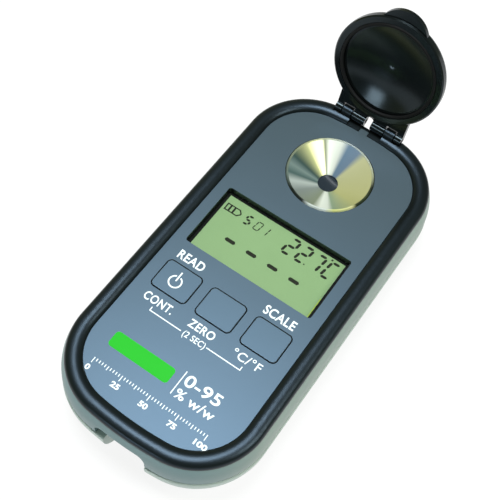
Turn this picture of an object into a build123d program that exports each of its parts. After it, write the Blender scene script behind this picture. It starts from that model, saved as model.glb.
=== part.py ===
from build123d import *
import os
from math import atan2, degrees, sqrt

# A handheld digital refractometer, lying on its back with the eye-side up and the
# sample-dish lid standing open. Millimetres, +Z up, +Y towards the lid hinge,
# origin in the middle of the flat underside.

os.makedirs("parts", exist_ok=True)

# ---- plan of the body ------------------------------------------------------
face_half_width = 23.45      # the keypad sheet, which every other outline follows
face_half_length = 53.95
corner_radius = 14.92
end_bow_radius = 96.3        # the two ends bow gently outward
corner_x = face_half_width - corner_radius
bow_y = face_half_length - end_bow_radius
corner_y = bow_y + sqrt((end_bow_radius - corner_radius) ** 2 - corner_x ** 2)
corner_sweep = degrees(atan2(corner_y - bow_y, corner_x))

# ---- how far each shell stands outside the keypad sheet --------------------
belly_grow = 5.9
wall = 2.0
seal_grow = 5.3
bead_width = 4.65
bead_middle = 2.3
shell_inner_grow = 3.4

# ---- heights ---------------------------------------------------------------
parting_low = 12.0           # top of the lower housing
parting_high = 12.4          # underside of the upper shell
shell_top = 19.9
face_top = 20.5              # the keypad sheet's upper side
sheet = 0.4
deck_top = face_top - sheet
deck_bottom = 18.4
bead_crest = 21.85
belly_radius = 11.0

# ---- display and keys ------------------------------------------------------
window_half_width = 19.95
window_near = -5.44
window_far = 15.62
window_corner = 0.8
window_mid = (window_near + window_far) / 2
window_length = window_far - window_near
key_width = 11.38
key_length = 9.56
key_pitch = 14.07
key_y = -17.02
key_corner = 1.5
key_gap = 0.2
key_top = 20.7

# ---- sample dish, prism and optics ----------------------------------------
dish_y = 36.1
rim_radius = 11.9
flange_radius = 12.6
dish_top = 20.85
window_radius = 2.95
bowl_floor = 16.1
flange_bottom = 19.3
dish_body_radius = 10.5
dish_bottom = 14.9
block_top = 14.3

# ---- lid -------------------------------------------------------------------
lid_y = 37.3
lid_radius = 16.55
lid_bottom = 20.8
lid_top = 25.4
dome_radius = 12.9
dome_edge = 21.9
dome_top = 24.3
dome_bow = (dome_radius**2 + (dome_top - dome_edge) ** 2) / (2 * (dome_top - dome_edge))
dome_quarter = dome_top - dome_bow + sqrt(dome_bow**2 - dome_radius**2 / 4)
hinge_y = 57.0
hinge_z = 22.5
lid_opening = 103.0
ear_radius = 1.75
ear_near = 5.6
ear_far = 8.6
arm_near = 8.9
arm_far = 11.0
knuckle_near = 1.05
knuckle_far = 5.3
knuckle_radius = 1.6
pin_radius = 0.8
slot_left = 2.0
hinge_axis = Axis((0, hinge_y, hinge_z), (1, 0, 0))

# ---- battery and its cover -------------------------------------------------
cell_radius = 5.2
cell_z = 8.0
cell_back = -38.6
cell_length = 43.4
bay_half_width = 6.2
bay_near = -44.5
bay_far = 6.3
bay_mid = (bay_near + bay_far) / 2
bay_length = bay_far - bay_near
hatch_half_width = 8.9
hatch_near = -47.4
hatch_far = 17.0
hatch_mid = (hatch_near + hatch_far) / 2
hatch_length = hatch_far - hatch_near
hatch_recess = 1.9
hatch_screw_y = 12.0

# ---- circuit board and fixings ---------------------------------------------
board_bottom = 13.6
board_top = 15.2
board_half_width = 22.5
board_near = -47.0
board_far = 22.8
case_screw_x = 14.5
case_screw_y = 42.0
board_screws = [(-20, -30), (20, -30), (-20, 20.3), (20, 20.3)]
block_screws = [(-6.9, 25.3), (6.9, 25.3), (-6.9, 46.9), (6.9, 46.9)]

# ---- strap notch at the front end ------------------------------------------
notch_left = -5.0            # the housing keeps a lug at the left of the arch
notch_right = 7.6
notch_mid = (notch_left + notch_right) / 2
notch_width = notch_right - notch_left
notch_depth = 8.35
arch_top = 17.4
front_y = -(face_half_length + belly_grow)
bar_y = front_y + 5.25
bar_z = 3.6
label_y = 33.0


def plan(grow, height):
    """The body's outline, grown outward, as a face at a height."""
    half_width = face_half_width + grow
    corner = corner_radius + grow
    bow = end_bow_radius + grow
    bow_sweep = 180 - 2 * corner_sweep
    with BuildSketch(Plane.XY.offset(height)) as face:
        with BuildLine():
            Line((half_width, -corner_y), (half_width, corner_y))
            CenterArc((corner_x, corner_y), corner, 0, corner_sweep)
            CenterArc((0, bow_y), bow, corner_sweep, bow_sweep)
            CenterArc((-corner_x, corner_y), corner, 180 - corner_sweep, corner_sweep)
            Line((-half_width, corner_y), (-half_width, -corner_y))
            CenterArc((-corner_x, -corner_y), corner, 180, corner_sweep)
            CenterArc((0, -bow_y), bow, 180 + corner_sweep, bow_sweep)
            CenterArc((corner_x, -corner_y), corner, 360 - corner_sweep, corner_sweep)
        make_face()
    return face.sketch


def plate(center, width, length, bottom, top, corner=0.0):
    """A flat rectangle with round corners, as a solid between two heights."""
    with BuildPart() as piece:
        with BuildSketch(Plane.XY.offset(bottom)):
            with Locations(center):
                if corner > 0:
                    RectangleRounded(width, length, corner)
                else:
                    Rectangle(width, length)
        extrude(amount=top - bottom)
    return piece.part


def disc(center, radius, bottom, top):
    """An upright round bar between two heights."""
    with BuildPart() as piece:
        with BuildSketch(Plane.XY.offset(bottom)):
            with Locations(center):
                Circle(radius)
        extrude(amount=top - bottom)
    return piece.part


def crossbar(radius, start, end, y, z):
    """A round bar lying along X."""
    with BuildPart() as piece:
        with BuildSketch(Plane.YZ.offset(start)):
            with Locations((y, z)):
                Circle(radius)
        extrude(amount=end - start)
    return piece.part


def screw(center, head_radius, shank_radius, head_bottom, head_top, tip):
    """A pan-head screw driven upward, with a cross recess in its head."""
    slot = head_radius * 1.1
    with BuildPart() as piece:
        add(disc(center, head_radius, head_bottom, head_top))
        fillet(piece.edges().group_by(Axis.Z)[0], (head_top - head_bottom) * 0.4)
        add(disc(center, shank_radius, head_top, tip))
        chamfer(piece.edges().group_by(Axis.Z)[-1], shank_radius * 0.4)
        add(plate(center, slot, slot * 0.25, head_bottom, head_bottom + 0.5), mode=Mode.SUBTRACT)
        add(plate(center, slot * 0.25, slot, head_bottom, head_bottom + 0.5), mode=Mode.SUBTRACT)
    return piece.part


# ---- the through slot in the middle of the hinge block ----------------------
with BuildPart() as hinge_slot:
    with BuildSketch(Plane.YZ.offset(-slot_left)):
        with BuildLine():
            Polyline((55.6, 21.6), (55.6, 25), (62, 25), (62, 12.95), close=True)
        make_face()
    extrude(amount=slot_left + knuckle_near)
    fillet(hinge_slot.edges().filter_by(Axis.Z).group_by(Axis.Y)[0], 0.8)

# ---- the arch that lets the strap notch up into the side wall ----------------
with BuildPart() as arch:
    add(plate((0, front_y), 2 * notch_right, 2 * notch_depth, parting_low, arch_top))
    fillet(arch.edges().filter_by(Axis.Y).group_by(Axis.Z)[-1], 2.4)
    fillet(arch.edges().filter_by(Axis.Z), 1.6)

# ---- lower housing -----------------------------------------------------------
with BuildPart() as belly:
    extrude(plan(belly_grow, 0), amount=parting_low)
    fillet(belly.edges().group_by(Axis.Z)[0], belly_radius)

with BuildPart() as hollow:
    extrude(plan(belly_grow - wall, wall), amount=parting_low - wall + 1)
    fillet(hollow.edges().group_by(Axis.Z)[0], belly_radius - wall)

with BuildPart() as notch_wall:
    add(belly.part)
    add(
        plate((0, front_y), 2 * notch_right + 3.2, 2 * notch_depth + 3.2, 0, parting_low, 1.5),
        mode=Mode.INTERSECT,
    )

with BuildPart() as lower_housing:
    add(belly.part)
    fillet(lower_housing.edges().group_by(Axis.Z)[-1], 0.5)
    add(hollow.part, mode=Mode.SUBTRACT)
    add(notch_wall.part)
    # a raised frame round the battery bay, its cradle walls and end walls
    add(plate((0, hatch_mid), 21.4, hatch_length + 3.2, wall - 0.3, 3.2, 3.5))
    with Locations((0, bay_mid, 6)):
        Box(15.2, bay_length + 3.2, 6.4)
    # fixing bosses
    for x in (-case_screw_x, case_screw_x):
        for y in (-case_screw_y, case_screw_y):
            add(disc((x, y), 3.3, wall - 0.5, parting_low))
    add(disc((0, hatch_screw_y), 3.3, 3, 8))
    # pillars that carry the optics block
    for x in (-6.9, 6.9):
        for y in (30.0, 42.2):
            add(disc((x, y), 1.6, wall - 0.3, 2.6))
    # the bay, open below, and the seat for its cover
    add(plate((0, bay_mid), 2 * bay_half_width, bay_length, 0, parting_low), mode=Mode.SUBTRACT)
    add(
        plate((0, hatch_mid), 2 * hatch_half_width, hatch_length, -1, hatch_recess, 3.0),
        mode=Mode.SUBTRACT,
    )
    add(disc((0, hatch_screw_y), 1.25, 0, 8.5), mode=Mode.SUBTRACT)
    for x in (-case_screw_x, case_screw_x):
        for y in (-case_screw_y, case_screw_y):
            add(disc((x, y), 2.4, -1, 2.9), mode=Mode.SUBTRACT)
            add(disc((x, y), 1.3, 2.9, parting_low + 1), mode=Mode.SUBTRACT)
    add(
        plate((notch_mid, front_y), notch_width, 2 * notch_depth, -1, parting_low + 1, 1.6),
        mode=Mode.SUBTRACT,
    )
    add(crossbar(0.8, notch_left - 1.1, notch_right + 1.1, bar_y, bar_z), mode=Mode.SUBTRACT)
    # a shallow seat for the rating label
    add(plate((0, label_y), 21.2, 23.2, -1, 0.2, 2.1), mode=Mode.SUBTRACT)
lower_housing.part.label = "lower_housing"
export_step(lower_housing.part, "parts/lower_housing.step")

# ---- steel bar across the strap notch ----------------------------------------
with BuildPart() as strap_bar:
    add(crossbar(0.8, notch_left - 1.1, notch_right + 1.1, bar_y, bar_z))
strap_bar.part.label = "strap_bar"
export_step(strap_bar.part, "parts/strap_bar.step")

# ---- blank rating label on the underside --------------------------------------
with BuildPart() as rating_label:
    add(plate((0, label_y), 21, 23, 0.08, 0.2, 2))
rating_label.part.label = "rating_label"
export_step(rating_label.part, "parts/rating_label.step")

# ---- seal between the two halves, seen as a dark line round the body ----------
with BuildPart() as case_seal:
    extrude(plan(seal_grow, parting_low), amount=parting_high - parting_low)
    extrude(plan(shell_inner_grow + 0.6, parting_low - 1), amount=2, mode=Mode.SUBTRACT)
    with BuildPart(mode=Mode.PRIVATE) as round_notch:
        extrude(plan(seal_grow, parting_low), amount=parting_high - parting_low)
        add(
            plate((0, front_y), 2 * notch_right + 3.2, 2 * notch_depth + 3.2, parting_low, parting_high, 1.5),
            mode=Mode.INTERSECT,
        )
    add(round_notch.part)
    add(arch.part, mode=Mode.SUBTRACT)
case_seal.part.label = "case_seal"
export_step(case_seal.part, "parts/case_seal.step")

# ---- upper shell: the coloured side wall --------------------------------------
with BuildPart() as upper_shell:
    loft([plan(5.65, parting_high), plan(5.75, 15), plan(5.45, 17.6), plan(bead_width, shell_top)])
    extrude(plan(shell_inner_grow, parting_high - 1), amount=10, mode=Mode.SUBTRACT)
    add(hinge_slot.part, mode=Mode.SUBTRACT)
    # walls and a roof that close the strap notch off from the inside
    with BuildPart(mode=Mode.PRIVATE) as notch_roof:
        extrude(plan(shell_inner_grow + 0.4, parting_high), amount=deck_bottom - parting_high)
        add(
            plate((0, front_y), 2 * notch_right + 3.2, 2 * notch_depth + 3.2, parting_high, deck_bottom, 1.5),
            mode=Mode.INTERSECT,
        )
    add(notch_roof.part)
    add(arch.part, mode=Mode.SUBTRACT)
upper_shell.part.label = "upper_shell"
export_step(upper_shell.part, "parts/upper_shell.step")

# ---- top bezel: the black bead, the deck under the keypad and the hinge ears ---
with BuildPart() as bead:
    with BuildLine(Plane.XY.offset(shell_top)) as bead_path:
        Line((face_half_width, -corner_y), (face_half_width, corner_y))
        CenterArc((corner_x, corner_y), corner_radius, 0, corner_sweep)
        CenterArc((0, bow_y), end_bow_radius, corner_sweep, 180 - 2 * corner_sweep)
        CenterArc((-corner_x, corner_y), corner_radius, 180 - corner_sweep, corner_sweep)
        Line((-face_half_width, corner_y), (-face_half_width, -corner_y))
        CenterArc((-corner_x, -corner_y), corner_radius, 180, corner_sweep)
        CenterArc((0, -bow_y), end_bow_radius, 180 + corner_sweep, 180 - 2 * corner_sweep)
        CenterArc((corner_x, -corner_y), corner_radius, 360 - corner_sweep, corner_sweep)
    with BuildSketch(Plane((face_half_width, 0, shell_top), x_dir=(1, 0, 0), z_dir=(0, -1, 0))):
        with BuildLine():
            Line((0, 0), (0, 0.75))
            Spline(
                (0, 0.75),
                (0.75, 1.6),
                (bead_middle, bead_crest - shell_top),
                tangents=((0.25, 1), (1, 0)),
            )
            Spline(
                (bead_middle, bead_crest - shell_top),
                (3.5, 1.74),
                (4.25, 1.3),
                (4.6, 0.65),
                (bead_width, 0),
                tangents=((1, 0), (0, -1)),
            )
            Line((bead_width, 0), (0, 0))
        make_face()
    sweep(path=bead_path.wire())

with BuildPart() as top_bezel:
    extrude(plan(shell_inner_grow - 0.1, deck_bottom), amount=deck_top - deck_bottom)
    extrude(plan(0.3, deck_top), amount=face_top - deck_top)
    extrude(plan(0, deck_top), amount=2, mode=Mode.SUBTRACT)
    add(bead.part)
    # the bead is interrupted where the lid's middle knuckles sit
    with Locations((0, 57.5, 22.6)):
        Box(2 * knuckle_far + 0.4, 8, 4, mode=Mode.SUBTRACT)
    with Locations((0, face_half_length, deck_top + 1)):
        Box(2.9, 3.2, 2, mode=Mode.SUBTRACT)
    # ears that carry the lid pins, with pockets beside them for the lid's arms
    for start, end in ((-arm_far - 0.25, -arm_near + 0.25), (arm_near - 0.25, arm_far + 0.25)):
        add(crossbar(2.0, start, end, hinge_y, hinge_z), mode=Mode.SUBTRACT)
    for start, end in ((-ear_far, -ear_near), (ear_near, ear_far)):
        with Locations(((start + end) / 2, hinge_y, (deck_top + hinge_z) / 2)):
            Box(ear_far - ear_near, 2 * ear_radius, hinge_z - deck_top)
        add(crossbar(ear_radius, start, end, hinge_y, hinge_z))
    for start, end in ((-ear_far - 0.1, -ear_near + 0.1), (ear_near - 0.1, ear_far + 0.1)):
        add(crossbar(pin_radius + 0.03, start, end, hinge_y, hinge_z), mode=Mode.SUBTRACT)
    add(hinge_slot.part, mode=Mode.SUBTRACT)
    # bosses under the deck
    for x in (-case_screw_x, case_screw_x):
        for y in (-case_screw_y, case_screw_y):
            add(disc((x, y), 3.1, parting_high, deck_bottom))
            add(disc((x, y), 1.05, parting_high, 17.2), mode=Mode.SUBTRACT)
    for point in board_screws:
        add(disc(point, 1.9, board_top, deck_bottom))
        add(disc(point, 0.75, board_top, 17.9), mode=Mode.SUBTRACT)
    for point in block_screws:
        add(disc(point, 1.9, block_top, deck_bottom))
        add(disc(point, 0.95, block_top, 17.9), mode=Mode.SUBTRACT)
    # openings for the display, the keys and the dish
    add(
        plate((0, window_mid), 2 * window_half_width, window_length, 15, 22, window_corner),
        mode=Mode.SUBTRACT,
    )
    for x in (-key_pitch, 0, key_pitch):
        add(plate((x, key_y), key_width, key_length, 15, 22, key_corner), mode=Mode.SUBTRACT)
    add(disc((0, dish_y), flange_radius + 0.1, flange_bottom - 0.2, 22), mode=Mode.SUBTRACT)
    add(disc((0, dish_y), dish_body_radius + 0.1, 15, 22), mode=Mode.SUBTRACT)
top_bezel.part.label = "top_bezel"
export_step(top_bezel.part, "parts/top_bezel.step")

# ---- keypad sheet -------------------------------------------------------------
with BuildPart() as keypad_sheet:
    extrude(plan(-0.12, deck_top), amount=sheet)
    add(
        plate((0, window_mid), 2 * window_half_width, window_length, 20, 21, window_corner),
        mode=Mode.SUBTRACT,
    )
    for x in (-key_pitch, 0, key_pitch):
        add(plate((x, key_y), key_width, key_length, 20, 21, key_corner), mode=Mode.SUBTRACT)
    add(disc((0, dish_y), flange_radius + 0.1, 20, 21), mode=Mode.SUBTRACT)
    # a small tongue between the lid's knuckles
    with Locations((0, face_half_length, deck_top + sheet / 2)):
        Box(2.6, 2.9, sheet)
keypad_sheet.part.label = "keypad_sheet"
export_step(keypad_sheet.part, "parts/keypad_sheet.step")

# ---- keys ---------------------------------------------------------------------
for name, x in (("read_key", -key_pitch), ("zero_key", 0), ("scale_key", key_pitch)):
    cap_width = key_width - 2 * key_gap
    cap_length = key_length - 2 * key_gap
    with BuildPart() as key:
        add(plate((x, key_y), cap_width, cap_length, 17.4, key_top, key_corner - key_gap))
        fillet(key.edges().group_by(Axis.Z)[-1], 0.25)
        add(plate((x, key_y), cap_width + 1.8, cap_length + 1.8, 17.4, deck_bottom - 0.05, 1.8))
        add(disc((x, key_y), 2.0, board_top + 0.75, 17.4))
    key.part.label = name
    export_step(key.part, "parts/" + name + ".step")

with BuildPart() as key_domes:
    for x in (-key_pitch, 0, key_pitch):
        with BuildSketch(Plane.XY.offset(board_top)):
            with Locations((x, key_y)):
                Circle(4.2)
        extrude(amount=0.25, taper=60)
key_domes.part.label = "key_domes"
export_step(key_domes.part, "parts/key_domes.step")

# ---- display: clear window, glass panel, frame and contact strips --------------
with BuildPart() as display_window:
    add(plate((0, window_mid), 42.8, 24.0, 17.9, 18.35, 0.6))
display_window.part.label = "display_window"
export_step(display_window.part, "parts/display_window.step")

with BuildPart() as display_panel:
    add(plate((0, window_mid), 42.8, 24.0, 16.2, 17.85, 0.2))
display_panel.part.label = "display_panel"
export_step(display_panel.part, "parts/display_panel.step")

with BuildPart() as display_frame:
    add(plate((0, window_mid), 45.2, 26.2, board_top, 17.85, 1.2))
    add(plate((0, window_mid), 43.0, 24.2, 14, 19), mode=Mode.SUBTRACT)
display_frame.part.label = "display_frame"
export_step(display_frame.part, "parts/display_frame.step")

with BuildPart() as display_contacts:
    for y in (window_mid - 10.6, window_mid + 10.6):
        add(plate((0, y), 40, 1.6, board_top, 16.2))
display_contacts.part.label = "display_contacts"
export_step(display_contacts.part, "parts/display_contacts.step")

# ---- sample dish ---------------------------------------------------------------
with BuildPart() as sample_dish:
    with BuildSketch(Plane.XZ.offset(-dish_y)):
        with BuildLine():
            Polyline(
                (window_radius, dish_bottom),
                (dish_body_radius, dish_bottom),
                (dish_body_radius, flange_bottom),
                (flange_radius, flange_bottom),
                (flange_radius, dish_top - 0.5),
                (rim_radius + 0.45, dish_top),
                (rim_radius, dish_top - 0.1),
                (window_radius + 0.25, bowl_floor),
                (window_radius, bowl_floor - 0.15),
                close=True,
            )
        make_face()
    revolve(axis=Axis((0, dish_y, 0), (0, 0, 1)))
sample_dish.part.label = "sample_dish"
export_step(sample_dish.part, "parts/sample_dish.step")

with BuildPart() as dish_gasket:
    add(disc((0, dish_y), flange_radius - 0.2, flange_bottom - 0.2, flange_bottom))
    add(disc((0, dish_y), dish_body_radius + 0.3, 19, 20), mode=Mode.SUBTRACT)
dish_gasket.part.label = "dish_gasket"
export_step(dish_gasket.part, "parts/dish_gasket.step")

# ---- measuring prism and its seal -----------------------------------------------
with BuildPart() as prism:
    with BuildSketch(Plane.YZ):
        with BuildLine():
            Polyline(
                (dish_y - 5.3, 14.5),
                (dish_y + 5.3, 14.5),
                (dish_y + 2.4, 9.4),
                (dish_y - 2.4, 9.4),
                close=True,
            )
        make_face()
    extrude(amount=4.55, both=True)
    add(disc((0, dish_y), window_radius - 0.05, 14.4, bowl_floor - 0.2))
prism.part.label = "prism"
export_step(prism.part, "parts/prism.step")

with BuildPart() as prism_seal:
    add(disc((0, dish_y), 4.3, 14.5, dish_bottom))
    add(disc((0, dish_y), window_radius + 0.1, 14, 15), mode=Mode.SUBTRACT)
prism_seal.part.label = "prism_seal"
export_step(prism_seal.part, "parts/prism_seal.step")

# ---- optics block: a dark trough holding lamp, prism, lens and sensor ------------
with BuildPart() as optics_block:
    add(plate((0, 36.8), 18, 27.2, 2.6, block_top, 1.5))
    add(plate((0, 36.8), 9.4, 23.2, 4, block_top + 1), mode=Mode.SUBTRACT)
    for x in (-4.15, 4.15):
        add(plate((x, dish_y), 1.1, 4.4, 3.8, 9.4))
    for point in block_screws:
        add(disc(point, 1.05, 2, block_top + 1), mode=Mode.SUBTRACT)
        add(disc(point, 1.9, 2, 11), mode=Mode.SUBTRACT)
optics_block.part.label = "optics_block"
export_step(optics_block.part, "parts/optics_block.step")

with BuildPart() as lamp:
    with BuildSketch(Plane.XY):
        with BuildLine():
            Polyline((0, 25.25), (1.9, 25.25), (1.9, 26.0), (1.5, 26.0), (1.5, 28.6))
            CenterArc((0, 28.6), 1.5, 0, 90)
            Line((0, 30.1), (0, 25.25))
        make_face()
    revolve(axis=Axis.Y)
lamp_upright = lamp.part.moved(Location((0, 0, 9.0)))
with BuildPart() as led:
    add(lamp_upright)
led.part.label = "led"
export_step(led.part, "parts/led.step")

with BuildPart() as lens:
    with BuildSketch(Plane.XZ.offset(-43.0)):
        with Locations((0, 8.65)):
            Circle(4.6)
    extrude(amount=-2.4)
    fillet(lens.edges(), 0.7)
lens.part.label = "lens"
export_step(lens.part, "parts/lens.step")

with BuildPart() as line_sensor:
    add(plate((0, 46.5), 3.6, 1.2, 4.8, 13.2))
line_sensor.part.label = "line_sensor"
export_step(line_sensor.part, "parts/line_sensor.step")

with BuildPart() as sensor_board:
    add(plate((0, 47.7), 9.2, 1.2, 4.05, 14.2))
sensor_board.part.label = "sensor_board"
export_step(sensor_board.part, "parts/sensor_board.step")

with BuildPart() as temperature_sensor:
    add(plate((6.6, dish_y), 1.6, 2.4, block_top, 14.85))
temperature_sensor.part.label = "temperature_sensor"
export_step(temperature_sensor.part, "parts/temperature_sensor.step")

with BuildPart() as block_fixings:
    for point in block_screws:
        add(screw(point, 1.75, 0.9, 9.9, 11, 17.4))
block_fixings.part.label = "block_fixings"
export_step(block_fixings.part, "parts/block_fixings.step")

# ---- main circuit board -----------------------------------------------------------
board_mid = (board_near + board_far) / 2
with BuildPart() as main_board:
    add(plate((0, board_mid), 2 * board_half_width, board_far - board_near, board_bottom, board_top, 4))
    for x in (-case_screw_x, case_screw_x):
        add(disc((x, -case_screw_y), 3.5, 13, 16), mode=Mode.SUBTRACT)
    for point in board_screws:
        add(disc(point, 0.85, 13, 16), mode=Mode.SUBTRACT)
main_board.part.label = "main_board"
export_step(main_board.part, "parts/main_board.step")

with BuildPart() as controller_chip:
    add(plate((13, -20), 9, 9, 12.2, board_bottom))
controller_chip.part.label = "controller_chip"
export_step(controller_chip.part, "parts/controller_chip.step")

with BuildPart() as board_components:
    for x in (-18, -14, -10):
        for y in (-24, -16, -8):
            add(plate((x, y), 1.6, 3.2, 12.6, board_bottom))
board_components.part.label = "board_components"
export_step(board_components.part, "parts/board_components.step")

with BuildPart() as board_fixings:
    for point in board_screws:
        add(screw(point, 1.6, 0.7, 12.6, board_bottom, 17.4))
board_fixings.part.label = "board_fixings"
export_step(board_fixings.part, "parts/board_fixings.step")

# ---- battery, contacts and cover ---------------------------------------------------
with BuildPart() as battery:
    with BuildSketch(Plane.XZ.offset(-cell_back)):
        with Locations((0, cell_z)):
            Circle(cell_radius)
    extrude(amount=-cell_length)
    fillet(battery.edges(), 0.6)
    with BuildSketch(Plane.XZ.offset(-cell_back - cell_length)):
        with Locations((0, cell_z)):
            Circle(1.8)
    extrude(amount=-1.1)
battery.part.label = "battery"
export_step(battery.part, "parts/battery.step")

with BuildPart() as battery_plate:
    with BuildSketch(Plane.XZ.offset(-5.95)):
        with Locations((0, cell_z)):
            Rectangle(8, 8)
    extrude(amount=-0.3)
battery_plate.part.label = "battery_plate"
export_step(battery_plate.part, "parts/battery_plate.step")

spring_turns = 4
spring_length = 4.7
with BuildPart() as battery_spring:
    with BuildSketch(Plane.XZ.offset(44.4)):
        with Locations((0, cell_z)):
            Circle(4.4)
            Circle(1.4, mode=Mode.SUBTRACT)
    extrude(amount=-0.4)
    with BuildLine() as coil:
        Helix(
            pitch=spring_length / spring_turns,
            height=spring_length,
            radius=3.4,
            center=(0, -43.75, cell_z),
            direction=(0, 1, 0),
        )
    with BuildSketch(Plane(coil.edges()[0] @ 0, z_dir=coil.edges()[0] % 0)):
        Circle(0.3)
    sweep(path=coil.edges()[0])
battery_spring.part.label = "battery_spring"
export_step(battery_spring.part, "parts/battery_spring.step")

with BuildPart() as battery_cover:
    add(plate((0, hatch_mid), 2 * hatch_half_width - 0.3, hatch_length - 0.3, 0, 1.5, 2.85))
    fillet(battery_cover.edges().group_by(Axis.Z)[0], 0.3)
    add(plate((0, bay_mid), 2 * bay_half_width - 0.4, bay_length - 0.4, 1.5, 2.5, 1.0))
    add(plate((0, bay_mid), 2 * bay_half_width - 2.4, bay_length - 2.4, 1.5, 3, 0.6), mode=Mode.SUBTRACT)
    add(disc((0, hatch_screw_y), 3.2, -1, 0.95), mode=Mode.SUBTRACT)
    add(disc((0, hatch_screw_y), 1.3, 0.5, 2), mode=Mode.SUBTRACT)
    for step in range(5):
        add(plate((0, -42 + 2 * step), 10, 0.9, -1, 0.4, 0.4), mode=Mode.SUBTRACT)
battery_cover.part.label = "battery_cover"
export_step(battery_cover.part, "parts/battery_cover.step")

with BuildPart() as cover_seal:
    add(plate((0, bay_mid), 16.4, bay_length + 4.2, 1.5, hatch_recess, 2))
    add(plate((0, bay_mid), 14.0, bay_length + 1.8, 1, 3, 1), mode=Mode.SUBTRACT)
cover_seal.part.label = "cover_seal"
export_step(cover_seal.part, "parts/cover_seal.step")

with BuildPart() as cover_screw:
    add(disc((0, hatch_screw_y), 3.0, 0.15, 0.95))
    fillet(cover_screw.edges().group_by(Axis.Z)[0], 0.2)
    add(disc((0, hatch_screw_y), 1.2, 0.95, 7.4))
    chamfer(cover_screw.edges().group_by(Axis.Z)[-1], 0.4)
    add(plate((0, hatch_screw_y), 6.4, 0.9, 0, 0.55), mode=Mode.SUBTRACT)
cover_screw.part.label = "cover_screw"
export_step(cover_screw.part, "parts/cover_screw.step")

# ---- screws that hold the case together ---------------------------------------------
with BuildPart() as case_screws:
    for x in (-case_screw_x, case_screw_x):
        for y in (-case_screw_y, case_screw_y):
            add(screw((x, y), 2.2, 1.0, 1.2, 2.9, 16.5))
case_screws.part.label = "case_screws"
export_step(case_screws.part, "parts/case_screws.step")

# ---- lid, first lying shut over the dish, then swung open ---------------------------
# the dished hollow inside it
with BuildPart() as lid_dome:
    with BuildSketch(Plane.XZ.offset(-lid_y)):
        with BuildLine():
            ThreePointArc((0, dome_top), (dome_radius / 2, dome_quarter), (dome_radius, dome_edge))
            Polyline((dome_radius, dome_edge), (dome_radius, 20), (0, 20), (0, dome_top))
        make_face()
    revolve(axis=Axis((0, lid_y, 0), (0, 0, 1)))

with BuildPart() as shut_lid:
    with BuildSketch(Plane.XZ.offset(-lid_y)):
        with BuildLine():
            Line((lid_radius, lid_bottom + 0.4), (lid_radius, 22.6))
            Spline(
                (lid_radius, 22.6),
                (14.6, 24.3),
                (9.0, 25.15),
                (0, lid_top),
                tangents=((0, 1), (-1, 0)),
            )
            Line((0, lid_top), (0, dome_top))
            ThreePointArc((0, dome_top), (dome_radius / 2, dome_quarter), (dome_radius, dome_edge))
            Polyline(
                (dome_radius, dome_edge),
                (13.2, dome_edge),
                (13.2, 21.6),
                (14.6, 21.6),
                (14.6, lid_bottom),
                (lid_radius - 0.4, lid_bottom),
                (lid_radius, lid_bottom + 0.4),
            )
        make_face()
    revolve(axis=Axis((0, lid_y, 0), (0, 0, 1)))
    # thumb tab
    with BuildSketch(Plane.XY.offset(21.5)):
        with Locations((0, lid_y - 11.9)):
            Circle(7.4)
        with Locations((0, lid_y)):
            Circle(lid_radius - 0.8, mode=Mode.SUBTRACT)
    extrude(amount=1.3)
    # a tongue between the rim and the hinge, ending in four knuckles
    with BuildSketch(Plane.YZ.offset(-arm_far)):
        with BuildLine():
            Polyline((47, 22.1), (hinge_y, 22.1), (hinge_y, 24.1), (50.0, 23.9), (47, 23.4), close=True)
        make_face()
        with Locations((hinge_y, hinge_z)):
            Circle(knuckle_radius)
    extrude(amount=2 * arm_far)
    for start, end in ((-arm_near, -knuckle_far), (knuckle_far, arm_near)):
        with Locations(((start + end) / 2, hinge_y + 0.6, hinge_z)):
            Box(end - start, 6.2, 6, mode=Mode.SUBTRACT)
    add(plate((0, hinge_y + 2.5), 2 * knuckle_near, 9.4, 20, 26, 0.8), mode=Mode.SUBTRACT)
    for start, end in ((-arm_far, -knuckle_near), (knuckle_near, arm_far)):
        add(crossbar(pin_radius, start - 1, end + 1, hinge_y, hinge_z), mode=Mode.SUBTRACT)
    # keep the hollow clear of the tongue
    add(lid_dome.part, mode=Mode.SUBTRACT)
with BuildPart() as lid:
    add(shut_lid.part.rotate(hinge_axis, -lid_opening))
lid.part.label = "lid"
export_step(lid.part, "parts/lid.step")

with BuildPart() as shut_lid_seal:
    with BuildSketch(Plane.XZ.offset(-lid_y)):
        with Locations((14.0, 21.08)):
            RectangleRounded(0.9, 0.94, 0.3)
    revolve(axis=Axis((0, lid_y, 0), (0, 0, 1)))
with BuildPart() as lid_seal:
    add(shut_lid_seal.part.rotate(hinge_axis, -lid_opening))
lid_seal.part.label = "lid_seal"
export_step(lid_seal.part, "parts/lid_seal.step")

with BuildPart() as hinge_pins:
    for start, end in ((-arm_far + 0.15, -knuckle_near - 0.6), (knuckle_near + 0.6, arm_far - 0.15)):
        add(crossbar(pin_radius, start, end, hinge_y, hinge_z))
hinge_pins.part.label = "hinge_pins"
export_step(hinge_pins.part, "parts/hinge_pins.step")
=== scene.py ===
import math

import bmesh
import bpy
from mathutils import Matrix, Vector


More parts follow.
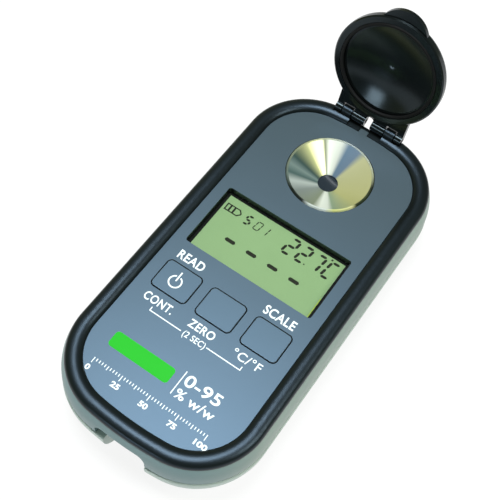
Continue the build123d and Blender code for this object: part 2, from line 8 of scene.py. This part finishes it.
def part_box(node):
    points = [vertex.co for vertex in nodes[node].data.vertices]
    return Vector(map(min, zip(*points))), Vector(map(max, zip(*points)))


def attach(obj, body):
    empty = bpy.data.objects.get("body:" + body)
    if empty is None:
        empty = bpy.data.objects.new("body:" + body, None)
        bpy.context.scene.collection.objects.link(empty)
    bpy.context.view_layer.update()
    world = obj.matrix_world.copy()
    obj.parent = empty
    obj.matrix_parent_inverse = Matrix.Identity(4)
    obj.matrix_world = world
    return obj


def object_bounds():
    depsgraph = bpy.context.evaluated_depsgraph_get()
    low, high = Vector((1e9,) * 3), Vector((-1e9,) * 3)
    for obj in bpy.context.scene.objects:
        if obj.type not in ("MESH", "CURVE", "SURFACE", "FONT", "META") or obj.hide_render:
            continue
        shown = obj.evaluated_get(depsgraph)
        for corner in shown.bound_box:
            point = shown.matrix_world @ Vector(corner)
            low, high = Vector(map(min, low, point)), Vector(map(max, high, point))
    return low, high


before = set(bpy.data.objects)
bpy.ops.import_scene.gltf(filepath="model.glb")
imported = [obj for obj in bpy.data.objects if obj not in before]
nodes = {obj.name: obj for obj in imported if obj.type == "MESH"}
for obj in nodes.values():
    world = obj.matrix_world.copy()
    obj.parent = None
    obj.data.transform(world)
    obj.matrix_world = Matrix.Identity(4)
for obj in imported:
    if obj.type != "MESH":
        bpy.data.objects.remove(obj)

cad_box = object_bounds()

MM = 0.001

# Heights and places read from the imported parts.
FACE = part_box("keypad_sheet")[1].z
KEY_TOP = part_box("read_key")[1].z
PANEL_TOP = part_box("display_panel")[1].z
DISH_LOW, DISH_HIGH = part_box("sample_dish")
DISH_CENTRE = (DISH_LOW + DISH_HIGH) / 2


# ---------------------------------------------------------------- materials
def linear(red, green, blue):
    """An sRGB colour given as 0-255 numbers, as linear values."""
    values = []
    for channel in (red, green, blue):
        c = channel / 255
        values.append(c / 12.92 if c <= 0.04045 else ((c + 0.055) / 1.055) ** 2.4)
    return (*values, 1.0)


def add_node(tree, kind, inputs, **settings):
    """A shader node with its settings; inputs maps each socket to a value or to another node's output."""
    node = tree.nodes.new("ShaderNode" + kind)
    for setting, value in settings.items():
        setattr(node, setting, value)
    for socket, value in inputs.items():
        if isinstance(value, bpy.types.NodeSocket):
            tree.links.new(value, node.inputs[socket])
        else:
            node.inputs[socket].default_value = value
    return node


def surface(name, colour, other, rough=(0.4, 0.5), grain=1500.0, bump=0.08, depth=0.02,
            blotch=60.0, metallic=0.0, coat=0.0, coat_rough=0.1, specular=0.5,
            scratches=0.0, alpha=1.0, sheen_tint=(1, 1, 1)):
    """Plastic, metal or paint: two close colours in soft blotches, uneven gloss and a fine grain."""
    material = bpy.data.materials.new(name)
    material.use_nodes = True
    tree = material.node_tree
    place = add_node(tree, "TexCoord", {}).outputs["Object"]

    cloud = add_node(tree, "TexNoise", {"Scale": blotch, "Detail": 6, "Vector": place})
    tint = add_node(tree, "Mix", {"A": colour, "B": other, "Factor": cloud.outputs["Fac"]},
                    data_type="RGBA")
    fine = add_node(tree, "TexNoise", {"Scale": grain, "Detail": 4, "Vector": place})
    gloss = add_node(tree, "MapRange", {
        "To Min": rough[0], "To Max": rough[1], "Value": fine.outputs["Fac"],
    })
    height = fine.outputs["Fac"]
    if scratches > 0:
        along = add_node(tree, "Mapping", {"Scale": (40, 2500, 2500), "Vector": place})
        streak = add_node(tree, "TexNoise", {"Scale": 1.0, "Vector": along.outputs["Vector"]})
        blend = add_node(tree, "Mix", {
            "Factor": scratches, "A": height, "B": streak.outputs["Fac"],
        })
        height = blend.outputs["Result"]
    relief = add_node(tree, "Bump", {"Strength": bump, "Distance": depth * MM, "Height": height})

    shader = tree.nodes["Principled BSDF"]
    tree.links.new(tint.outputs["Result"], shader.inputs["Base Color"])
    tree.links.new(gloss.outputs["Result"], shader.inputs["Roughness"])
    tree.links.new(relief.outputs["Normal"], shader.inputs["Normal"])
    shader.inputs["Metallic"].default_value = metallic
    shader.inputs["Coat Weight"].default_value = coat
    shader.inputs["Coat Roughness"].default_value = coat_rough
    shader.inputs["Specular IOR Level"].default_value = specular
    shader.inputs["Alpha"].default_value = alpha
    shader.inputs["Specular Tint"].default_value = (*sheen_tint, 1)
    return material


case_paint = surface("case_plastic", linear(174, 190, 184), linear(180, 195, 189),
                     rough=(0.36, 0.46), grain=2600, bump=0.06, depth=0.01, specular=0.35)
shell_paint = surface("shell_plastic", linear(132, 150, 143), linear(138, 155, 149),
                      rough=(0.36, 0.46), grain=2600, bump=0.06, depth=0.01, specular=0.35)
bezel_black = surface("bezel_plastic", linear(10, 13, 12), linear(13, 16, 15),
                      rough=(0.30, 0.36), grain=2800, bump=0.05, depth=0.01, specular=0.36,
                      sheen_tint=(0.55, 0.77, 1.0))
sheet_grey = surface("sheet_grey", linear(50, 58, 57), linear(54, 62, 62),
                     rough=(0.38, 0.46), grain=5200, bump=0.10, depth=0.01, blotch=90, specular=0.9,
                     sheen_tint=(0.42, 0.68, 1.0))
key_grey = surface("key_grey", linear(53, 64, 66), linear(57, 68, 72),
                   rough=(0.38, 0.46), grain=5200, bump=0.10, depth=0.01, blotch=90, specular=0.9,
                   sheen_tint=(0.42, 0.68, 1.0))
rubber = surface("rubber", linear(9, 10, 11), linear(14, 15, 16), rough=(0.5, 0.65), grain=2000,
                 specular=0.15)
dark_pin = surface("blackened_steel", linear(20, 21, 24), linear(30, 32, 36),
                   rough=(0.34, 0.44), grain=1800, metallic=1.0)
gap_shade_black = surface("gap_shade_black", linear(5, 7, 10), linear(9, 11, 14), rough=(0.5, 0.6),
                      specular=0.1)
plated = surface("plated_steel", linear(176, 176, 174), linear(200, 200, 198),
                 rough=(0.22, 0.38), grain=1800, metallic=1.0, scratches=0.5)
label_silver = surface("label_silver", linear(188, 190, 192), linear(202, 204, 205),
                       rough=(0.35, 0.5), grain=900, metallic=0.3, scratches=0.4)
inner_black = surface("inner_black", linear(7, 8, 8), linear(11, 12, 12),
                      rough=(0.6, 0.8), grain=1600, specular=0.1)
lid_black = surface("lid_plastic", linear(6, 8, 8), linear(9, 11, 11),
                    rough=(0.14, 0.19), grain=1200, bump=0.06, depth=0.01, specular=0.35,
                    sheen_tint=(0.7, 0.9, 1.0))
board_green = surface("board_green", linear(16, 78, 40), linear(24, 96, 50), rough=(0.3, 0.45))
chip_black = surface("chip_black", linear(24, 24, 25), linear(34, 34, 35), rough=(0.5, 0.65))
cell_skin = surface("cell_skin", linear(38, 44, 60), linear(46, 54, 74), rough=(0.25, 0.35))
lamp_resin = surface("lamp_resin", linear(226, 214, 168), linear(236, 226, 190), rough=(0.1, 0.2))
lcd_green = surface("lcd_green", linear(132, 168, 112), linear(138, 174, 118),
                    rough=(0.5, 0.6), grain=1500, bump=0.02, blotch=110)
lcd_ink = surface("lcd_ink", linear(20, 24, 8), linear(27, 31, 12), rough=(0.6, 0.7), specular=0.2)
print_white = surface("print_white", linear(214, 222, 224), linear(224, 231, 233),
                      rough=(0.45, 0.6), grain=3500, bump=0.05)
print_green = surface("print_green", linear(18, 160, 22), linear(26, 168, 30),
                      rough=(0.45, 0.55), grain=3500, bump=0.05, specular=0.12)
prism_glass = surface("prism_glass", linear(22, 30, 38), linear(28, 37, 46),
                      rough=(0.06, 0.12), grain=900, bump=0.02, coat=0.6, coat_rough=0.05)
clear_plastic = surface("clear_plastic", linear(40, 46, 42), linear(48, 54, 50),
                        rough=(0.04, 0.08), grain=700, bump=0.01, alpha=0.10)


# Painted reflection on the dish's turned wall: the surroundings as a fan of tints round its axis, as
# (part of a turn, colour).
FAN_PAINTED_REFLECTION = (
    (0.00, (190, 190, 140)), (0.18, (195, 195, 155)), (0.21, (110, 130, 155)), (0.26, (100, 125, 150)),
    (0.29, (220, 225, 220)), (0.34, (245, 250, 245)), (0.36, (110, 120, 90)), (0.37, (250, 250, 215)),
    (0.41, (235, 235, 180)), (0.44, (150, 155, 110)), (0.51, (55, 80, 80)), (0.55, (130, 150, 150)),
    (0.59, (85, 110, 110)), (0.63, (195, 205, 205)), (0.68, (140, 150, 150)), (0.77, (130, 140, 120)),
    (0.80, (235, 240, 235)), (0.83, (225, 230, 225)), (0.85, (140, 160, 135)), (0.94, (185, 185, 130)),
    (1.00, (190, 190, 140)),
)
# Painted reflection on its turned lip: bright only where it faces the lower edge of the case.
LIP_PAINTED_REFLECTION = (
    (0.00, (60, 70, 50)), (0.04, (45, 50, 40)), (0.09, (140, 145, 120)), (0.25, (95, 105, 110)),
    (0.42, (140, 145, 110)), (0.60, (110, 125, 120)), (0.67, (40, 45, 40)), (0.73, (45, 50, 50)),
    (0.76, (230, 240, 240)), (0.82, (235, 245, 245)), (0.85, (230, 235, 155)), (0.92, (240, 240, 180)),
    (0.94, (50, 60, 40)), (1.00, (60, 70, 50)),
)
LIP_WIDTH = 0.85 * MM
LIP_FADE = 0.2 * MM


def tints(tree, value, stops):
    """A colour ramp read at value; stops are (position, colour)."""
    ramp = add_node(tree, "ValToRGB", {"Fac": value})
    elements = ramp.color_ramp.elements
    for element, (position, colour) in zip(elements, (stops[0], stops[-1])):
        element.position = position
        element.color = linear(*colour)
    for position, colour in stops[1:-1]:
        elements.new(position).color = linear(*colour)
    return ramp.outputs["Color"]


def multiply_colour(material, factor, colour):
    """Multiplies a material's colour by another, as far as factor says."""
    tree = material.node_tree
    base = tree.nodes["Principled BSDF"].inputs["Base Color"]
    mix = add_node(tree, "Mix", {
        "Factor": factor, "A": base.links[0].from_socket, "B": colour,
    }, data_type="RGBA", blend_type="MULTIPLY")
    tree.links.new(mix.outputs["Result"], base)


def shade_end(material, start, stop, tint):
    """Paints shade: multiplies the colour by tint beyond stop along Y, fading in from start."""
    tree = material.node_tree
    place = add_node(tree, "TexCoord", {})
    parts = add_node(tree, "SeparateXYZ", {"Vector": place.outputs["Object"]})
    fade = add_node(tree, "MapRange", {
        "From Min": start, "From Max": stop, "Value": parts.outputs["Y"],
    })
    multiply_colour(material, fade.outputs["Result"], (*tint, 1))


def part_of_turn(tree, offset):
    """The direction of a flat vector, from 0 along +X, through 0.25 along +Y, to 1."""
    parts = add_node(tree, "SeparateXYZ", {"Vector": offset})
    angle = add_node(tree, "Math", {0: parts.outputs["Y"], 1: parts.outputs["X"]},
                     operation="ARCTAN2")
    turn = add_node(tree, "MapRange", {
        "From Min": -math.pi, "From Max": math.pi, "Value": angle.outputs["Value"],
    })
    half_on = add_node(tree, "Math", {0: turn.outputs["Result"], 1: 0.5}, operation="ADD")
    wrapped = add_node(tree, "Math", {0: half_on.outputs["Value"], 1: 1, 2: 0}, operation="WRAP")
    return wrapped.outputs["Value"]


def turned_steel(name):
    """Polished steel with fine circular tool marks, and painted reflections that change round the axis.
    """
    material = surface(name, linear(222, 222, 216), linear(232, 232, 226), rough=(0.26, 0.32),
                       grain=900, bump=0.03, metallic=0.3, specular=0.3)
    tree = material.node_tree
    place = add_node(tree, "TexCoord", {})
    centred = add_node(tree, "VectorMath", {
        0: place.outputs["Object"], 1: (DISH_CENTRE.x, DISH_CENTRE.y, 0),
    }, operation="SUBTRACT")
    flat = add_node(tree, "VectorMath", {0: centred.outputs["Vector"], 1: (1, 1, 0)},
                    operation="MULTIPLY").outputs["Vector"]
    radius = add_node(tree, "VectorMath", {0: flat}, operation="LENGTH").outputs["Value"]

    groove = add_node(tree, "TexNoise", {"Scale": 5000, "W": radius}, noise_dimensions="1D")
    relief = add_node(tree, "Bump", {
        "Strength": 0.12, "Distance": 0.01 * MM, "Height": groove.outputs["Fac"],
    })

    turn = part_of_turn(tree, flat)
    lip_start = (DISH_HIGH.x - DISH_LOW.x) / 2 - LIP_WIDTH
    on_lip = add_node(tree, "MapRange", {
        "From Min": lip_start, "From Max": lip_start + LIP_FADE, "Value": radius,
    })
    shine = add_node(tree, "Mix", {
        "Factor": on_lip.outputs["Result"], "A": tints(tree, turn, FAN_PAINTED_REFLECTION), "B": tints(tree, turn, LIP_PAINTED_REFLECTION),
    }, data_type="RGBA")
    # Painted reflection: the steel's colour is multiplied by the fan tints, or by the lip's tints near
    # the rim.
    multiply_colour(material, 1.0, shine.outputs["Result"])

    tangent = add_node(tree, "Tangent", {}, direction_type="RADIAL", axis="Z")
    shader = tree.nodes["Principled BSDF"]
    tree.links.new(relief.outputs["Normal"], shader.inputs["Normal"])
    tree.links.new(tangent.outputs["Tangent"], shader.inputs["Tangent"])
    shader.inputs["Anisotropic"].default_value = 0.7
    return material


dish_steel = turned_steel("dish_steel")
# Painted shade: the near end of the shell, from 40 to 56 mm in front, is darkened and made bluer.
shade_end(shell_paint, -40 * MM, -56 * MM, (0.66, 0.78, 0.90))

dress = {
    case_paint: ("lower_housing", "battery_cover"),
    shell_paint: ("upper_shell",),
    bezel_black: ("top_bezel",),
    sheet_grey: ("keypad_sheet",),
    key_grey: ("read_key", "zero_key", "scale_key"),
    rubber: ("case_seal", "dish_gasket", "prism_seal", "cover_seal", "lid_seal", "display_contacts"),
    plated: ("strap_bar", "key_domes", "block_fixings", "board_fixings", "battery_plate",
             "battery_spring", "cover_screw", "case_screws"),
    dark_pin: ("hinge_pins",),
    label_silver: ("rating_label",),
    inner_black: ("display_frame", "optics_block"),
    lid_black: ("lid",),
    board_green: ("sensor_board", "main_board"),
    chip_black: ("line_sensor", "temperature_sensor", "controller_chip", "board_components"),
    cell_skin: ("battery",),
    lamp_resin: ("led",),
    lcd_green: ("display_panel",),
    clear_plastic: ("display_window", "lens"),
    prism_glass: ("prism",),
    dish_steel: ("sample_dish",),
}
for material, names in dress.items():
    for name in names:
        for place in nodes[name].material_slots:
            place.material = material


# ---------------------------------------------------------------- small flat pieces
def slab(name, outlines, bottom, top, body, material, slot):
    """Flat closed shapes, each a list of (x, y) in mm, raised between two heights in metres."""
    mesh = bpy.data.meshes.new(name)
    shape = bmesh.new()
    for outline in outlines:
        low = [shape.verts.new((x * MM, y * MM, bottom)) for x, y in outline]
        high = [shape.verts.new((x * MM, y * MM, top)) for x, y in outline]
        count = len(outline)
        shape.faces.new(high)
        shape.faces.new(low[::-1])
        for i in range(count):
            j = (i + 1) % count
            shape.faces.new((low[i], low[j], high[j], high[i]))
    bmesh.ops.recalc_face_normals(shape, faces=shape.faces)
    shape.to_mesh(mesh)
    shape.free()
    piece = bpy.data.objects.new(name, mesh)
    bpy.context.scene.collection.objects.link(piece)
    mesh.materials.append(material)
    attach(piece, body)


def round_box(cx, cy, width, length, corner, steps=5):
    """A rectangle with round corners, in mm."""
    points = []
    for turn, (sx, sy) in enumerate(((1, 1), (-1, 1), (-1, -1), (1, -1))):
        for step in range(steps + 1):
            angle = math.radians(90 * turn + 90 * step / steps)
            x = cx + sx * (width / 2 - corner) + corner * math.cos(angle)
            y = cy + sy * (length / 2 - corner) + corner * math.sin(angle)
            points.append((x, y))
    return points


def stroke(start, end, width):
    """A straight bar between two points, in mm."""
    (x0, y0), (x1, y1) = start, end
    run = math.hypot(x1 - x0, y1 - y0)
    nx, ny = -(y1 - y0) / run * width / 2, (x1 - x0) / run * width / 2
    return [(x0 + nx, y0 + ny), (x0 - nx, y0 - ny), (x1 - nx, y1 - ny), (x1 + nx, y1 + ny)]


def ring(name, cx, cy, radius, width, start, sweep, bottom, top, body, material, slot):
    """Part of a flat ring, in mm and degrees, as one slab."""
    steps = 40
    inner, outer = [], []
    for step in range(steps + 1):
        angle = math.radians(start + sweep * step / steps)
        for points, reach in ((inner, radius - width / 2), (outer, radius + width / 2)):
            points.append((cx + reach * math.cos(angle), cy + reach * math.sin(angle)))
    slab(name, [outer + inner[::-1]], bottom, top, body, material, slot)


# Capital height as a part of the font's size, and the thickness and height of the print.
CAPITAL = 0.73
LEGEND_HALF = 0.012 * MM
LEGEND_LIFT = 0.014 * MM


def legend(name, text, left, right, low, cap, weight, spacing=1.0):
    """Lettering printed on the keypad: its ends, base line and capital height, in mm."""
    curve = bpy.data.curves.new(name, "FONT")
    curve.body = text
    curve.size = cap * MM / CAPITAL
    curve.offset = weight * MM
    curve.space_character = spacing
    curve.extrude = LEGEND_HALF
    curve.align_x = "LEFT"
    piece = bpy.data.objects.new(name, curve)
    bpy.context.scene.collection.objects.link(piece)
    bpy.context.view_layer.update()
    first = min(corner[0] for corner in piece.bound_box)
    last = max(corner[0] for corner in piece.bound_box)
    stretch = (right - left) * MM / (last - first)
    piece.scale = (stretch, 1, 1)
    piece.location = (left * MM - first * stretch, low * MM, FACE + LEGEND_LIFT)
    curve.materials.append(print_white)
    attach(piece, "body")


# ---------------------------------------------------------------- keypad printing
# Bottom and top of the print on the sheet.
PRINT = (FACE - 0.005 * MM, FACE + 0.02 * MM)
legend("legend_read", "READ", -18.7, -10.6, -11.0, 2.75, weight=0.08, spacing=1.08)
legend("legend_scale", "SCALE", 8.8, 18.2, -11.0, 2.75, weight=0.08, spacing=1.08)
legend("legend_cont", "CONT.", -18.6, -9.7, -25.85, 2.5, weight=0.06, spacing=1.08)
legend("legend_zero", "ZERO", -4.6, 3.2, -25.55, 2.45, weight=0.07, spacing=1.08)
legend("legend_units", "°C/°F", 9.2, 17.6, -25.7, 2.5, weight=0.03, spacing=1.08)
legend("legend_hold", "(2 SEC)", -4.05, 2.7, -28.6, 1.8, weight=0.03, spacing=1.05)
slab("hold_bracket", [
    stroke((-14.7, -26.7), (-14.7, -27.95), 0.3),
    stroke((-14.55, -27.8), (-4.8, -27.8), 0.3),
    stroke((3.1, -27.8), (13.25, -27.8), 0.3),
    stroke((13.4, -26.7), (13.4, -27.95), 0.3),
], *PRINT, "body", print_white, "keypad_sheet")


def outline(cx, cy, width, length, corner, line):
    """A closed rectangular line with round corners, as four-sided outlines, in mm."""
    outer = round_box(cx, cy, width, length, corner)
    inner = round_box(cx, cy, width - 2 * line, length - 2 * line, corner - line)
    count = len(outer)
    return [[outer[i], outer[(i + 1) % count], inner[(i + 1) % count], inner[i]] for i in range(count)]


# Painted shade round each key, a dark line standing for the shadow in the gap and on the cap's edge: its
# outer size, corner radius and line width, in mm.
gap_shade_width, gap_shade_length, gap_shade_corner, gap_shade_line = 10.98, 9.16, 1.3, 0.14
for key in ("read_key", "zero_key", "scale_key"):
    low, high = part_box(key)
    centre = (low + high) / 2 / MM
    slab(key + "_gap_shade",
         outline(centre.x, centre.y, gap_shade_width, gap_shade_length, gap_shade_corner, gap_shade_line),
         KEY_TOP - 0.01 * MM, KEY_TOP + 0.008 * MM, key, gap_shade_black, "key_grey")

# The power mark on the read key: an open ring with a bar in its gap.
KEY_PRINT = (KEY_TOP - 0.005 * MM, KEY_TOP + 0.02 * MM)
mark_x, mark_y, mark_line = -14.35, -17.45, 0.42
ring("power_ring", mark_x, mark_y, 1.75, mark_line, 110, 320,
     *KEY_PRINT, "read_key", print_white, "key_grey")
slab("power_bar", [stroke((mark_x, mark_y + 3.25), (mark_x, mark_y + 0.25), mark_line)],
     *KEY_PRINT, "read_key", print_white, "key_grey")

# A plain green bar and the measuring range.
slab("green_bar", [round_box(-8.4, -39.3, 18.4, 4.6, 1.0)],
     *PRINT, "body", print_green, "keypad_sheet")
slab("range_rule", [stroke((3.1, -35.8), (3.1, -42.9), 0.28)],
     *PRINT, "body", print_white, "keypad_sheet")
legend("range_numbers", "0-95", 4.0, 14.6, -39.1, 3.3, weight=0.08, spacing=1.05)
legend("range_unit", "% w/w", 4.0, 15.4, -43.0, 2.7, weight=0.06, spacing=1.05)

# A scale from 0 to 100: long marks at its quarters, shorter ones halfway, small ones between.
scale_left, scale_length, scale_top = -17.6, 34.4, -46.1
small_steps, numbers = 40, ("0", "25", "50", "75", "100")
ticks = []
for step in range(small_steps + 1):
    x = scale_left + scale_length * step / small_steps
    tall = 1.7 if step % 10 == 0 else (1.2 if step % 5 == 0 else 0.8)
    ticks.append(stroke((x, scale_top), (x, scale_top - tall), 0.24))
slab("scale_ticks", ticks, *PRINT, "body", print_white, "keypad_sheet")
for step, number in enumerate(numbers):
    middle = scale_left + scale_length * step / (len(numbers) - 1)
    half = 0.62 * len(number)
    legend("scale_number_" + number, number, middle - half, middle + half, -49.9, 1.5, weight=0.08)

# ---------------------------------------------------------------- display
# Bottom and top of the dark marks on the panel, and how far its figures lean.
INK = (PANEL_TOP + 0.004 * MM, PANEL_TOP + 0.02 * MM)
SLANT = 0.16


def segment(x, y, width, height, part, thick):
    """One bar of a slanting seven-segment figure whose lower left corner is (x, y), in mm."""
    half = height / 2
    gap = thick * 0.22
    spots = {
        "a": ((0, height), (width, height)),
        "b": ((width, height), (width, half)),
        "c": ((width, half), (width, 0)),
        "d": ((0, 0), (width, 0)),
        "e": ((0, half), (0, 0)),
        "f": ((0, height), (0, half)),
        "g": ((0, half), (width, half)),
    }
    (x0, y0), (x1, y1) = spots[part]
    run = math.hypot(x1 - x0, y1 - y0)
    ux, uy = (x1 - x0) / run, (y1 - y0) / run
    x0, y0, x1, y1 = x0 + ux * gap, y0 + uy * gap, x1 - ux * gap, y1 - uy * gap
    nx, ny = -uy * thick / 2, ux * thick / 2
    tip = thick / 2
    corners = [
        (x0, y0), (x0 + ux * tip - nx, y0 + uy * tip - ny), (x1 - ux * tip - nx, y1 - uy * tip - ny),
        (x1, y1), (x1 - ux * tip + nx, y1 - uy * tip + ny), (x0 + ux * tip + nx, y0 + uy * tip + ny),
    ]
    return [(x + px + SLANT * py, y + py) for px, py in corners]


# The bars that make each sign, by the usual letters of a seven-segment figure.
FIGURES = {"2": "abged", "7": "abc", "C": "afed", "S": "afgcd", "0": "abcdef", "1": "bc"}


def figure(name, sign, x, y, width, height, thick):
    bars = [segment(x, y, width, height, part, thick) for part in FIGURES[sign]]
    slab(name, bars, *INK, "body", lcd_ink, "display_glass")


figure("figure_tens", "2", 1.9, 8.5, 2.5, 5.3, 0.78)
figure("figure_ones", "2", 6.1, 8.5, 2.5, 5.3, 0.78)
figure("figure_tenths", "7", 10.4, 8.5, 2.4, 5.3, 0.78)
figure("figure_unit", "C", 14.5, 8.5, 2.4, 5.3, 0.78)
figure("figure_scale", "S", -11.6, 9.7, 1.6, 2.8, 0.62)
figure("figure_scale_tens", "0", -8.3, 9.7, 1.6, 2.8, 0.3)
figure("figure_scale_ones", "1", -5.9, 9.7, 1.6, 2.8, 0.3)
slab("degree_mark", [round_box(14.9, 14.3, 0.6, 0.6, 0.28)],
     *INK, "body", lcd_ink, "display_glass")
slab("decimal_point", [round_box(9.3, 8.6, 0.42, 0.42, 0.2)],
     *INK, "body", lcd_ink, "display_glass")
slab("reading_dashes", [
    [(x - 1.7, 2.65), (x - 1.3, 3.22), (x + 1.3, 3.22),
     (x + 1.7, 2.65), (x + 1.3, 2.08), (x - 1.3, 2.08)]
    for x in (-10.8, -3.9, 3.0, 9.9)
], *INK, "body", lcd_ink, "display_glass")
slab("battery_mark", [
    stroke((-18.3, 12.4), (-14.1, 12.4), 0.36),
    stroke((-18.3, 10.3), (-14.1, 10.3), 0.36),
    stroke((-18.1, 12.5), (-18.1, 10.2), 0.4),
    stroke((-16.9, 12.3), (-16.9, 10.4), 0.55),
    stroke((-15.6, 12.3), (-15.6, 10.4), 0.55),
    stroke((-14.2, 12.5), (-13.2, 11.35), 0.4),
    stroke((-13.2, 11.35), (-14.2, 10.2), 0.4),
], *INK, "body", lcd_ink, "display_glass")


def border(name, outer, inner, bottom, top, body, material, slot):
    """A flat rectangular border; outer and inner are (left, right, low, high) in mm."""
    corners = []
    for left, right, low, high in (outer, inner):
        corners.append([(left, low), (right, low), (right, high), (left, high)])
    outside, inside = corners
    outlines = []
    for i in range(4):
        j = (i + 1) % 4
        outlines.append([outside[i], outside[j], inside[j], inside[i]])
    slab(name, outlines, bottom, top, body, material, slot)


border("display_mask", (-21.2, 21.2, -6.8, 17.0), (-19.05, 18.75, -4.9, 14.95),
       PANEL_TOP + 0.022 * MM, PANEL_TOP + 0.04 * MM, "body", inner_black, "inner_black")

# Light leaking past the lower and right edges of the panel.
display_glow = surface("display_glow", linear(168, 196, 60), linear(178, 204, 72),
                       rough=(0.5, 0.6), specular=0.2)
slab("display_glow", [
    stroke((-19.0, -4.82), (18.7, -4.82), 0.26),
    stroke((18.62, -4.7), (18.62, 2.5), 0.22),
], PANEL_TOP + 0.003 * MM, PANEL_TOP + 0.012 * MM, "body", display_glow, "display_glass")

# ---------------------------------------------------------------- floor, light and camera
floor_half = 3.0
floor_mesh = bpy.data.meshes.new("floor")
floor_mesh.from_pydata([
    (x * floor_half, y * floor_half, 0) for x, y in ((-1, -1), (1, -1), (1, 1), (-1, 1))
], [], [(0, 1, 2, 3)])
floor = bpy.data.objects.new("floor", floor_mesh)
bpy.context.scene.collection.objects.link(floor)
floor.location.z = min(0, cad_box[0][2]) - 0.02 * MM
floor_material = surface("floor_white", linear(96, 96, 96), linear(100, 100, 100),
                         rough=(0.7, 0.8), grain=40, bump=0.0, specular=0.1)
floor_shader = floor_material.node_tree.nodes["Principled BSDF"]
floor_shader.inputs["Emission Color"].default_value = (1, 1, 1, 1)
floor_shader.inputs["Emission Strength"].default_value = 0.86
floor_mesh.materials.append(floor_material)


def soft_light(name, place, aim, width, length, power, colour):
    """A rectangular lamp at place, turned towards aim; sizes in metres, power in watts."""
    light = bpy.data.lights.new(name, "AREA")
    light.shape = "RECTANGLE"
    light.size = width
    light.size_y = length
    light.energy = power
    light.color = colour
    lamp = bpy.data.objects.new(name, light)
    lamp.location = place
    lamp.rotation_euler = (Vector(aim) - Vector(place)).to_track_quat("-Z", "Y").to_euler()
    bpy.context.scene.collection.objects.link(lamp)


soft_light("overhead", (-0.09, 0.035, 0.62), (-0.09, 0.035, 0), 0.25, 0.26, 4.8, (0.93, 0.97, 1.0))
soft_light("front_low", (-0.09, -0.52, 0.13), (0, 0.055, 0.035), 0.12, 0.12, 0.4, (0.84, 0.92, 1.0))
soft_light("right_side", (0.40, 0.08, 0.58), (0, 0.03, 0), 0.20, 0.26, 2.0, (1.0, 0.99, 0.90))

# The room: warm to the left and right, dim and cool between, an even grey overhead.
world = bpy.data.worlds.new("studio")
bpy.context.scene.world = world
world.use_nodes = True
room = world.node_tree
direction = add_node(room, "TexCoord", {})
split = add_node(room, "SeparateXYZ", {"Vector": direction.outputs["Generated"]})
across = add_node(room, "MapRange", {"From Min": -1, "From Max": 1, "Value": split.outputs["X"]})
walls = add_node(room, "ValToRGB", {"Fac": across.outputs["Result"]})
left_wall, right_wall = walls.color_ramp.elements
left_wall.position = 0.1
left_wall.color = (0.66, 0.64, 0.32, 1)
right_wall.position = 0.9
right_wall.color = (0.50, 0.54, 0.38, 1)
walls.color_ramp.elements.new(0.5).color = (0.10, 0.16, 0.18, 1)
ceiling = add_node(room, "Mix", {
    "Factor": split.outputs["Z"], "A": walls.outputs["Color"], "B": (0.24, 0.28, 0.26, 1),
}, data_type="RGBA")
sky = room.nodes["Background"]
sky.inputs["Strength"].default_value = 0.8
room.links.new(ceiling.outputs["Result"], sky.inputs["Color"])

camera_data = bpy.data.cameras.new("camera")
camera_data.sensor_fit = "HORIZONTAL"
camera_data.sensor_width = 36
camera_data.lens = 70.02
camera = bpy.data.objects.new("camera", camera_data)
bpy.context.scene.collection.objects.link(camera)
camera.location = (0.05657, -0.11337, 0.2241 + FACE)
target = Vector((-0.00425, 0.00215, FACE))
aim = (target - camera.location).to_track_quat("-Z", "Y").to_matrix().to_4x4()
roll = Matrix.Rotation(math.radians(7.81), 4, "Z")
camera.matrix_world = Matrix.Translation(camera.location) @ aim @ roll
bpy.context.scene.camera = camera
bpy.context.scene.view_settings.view_transform = "Standard"
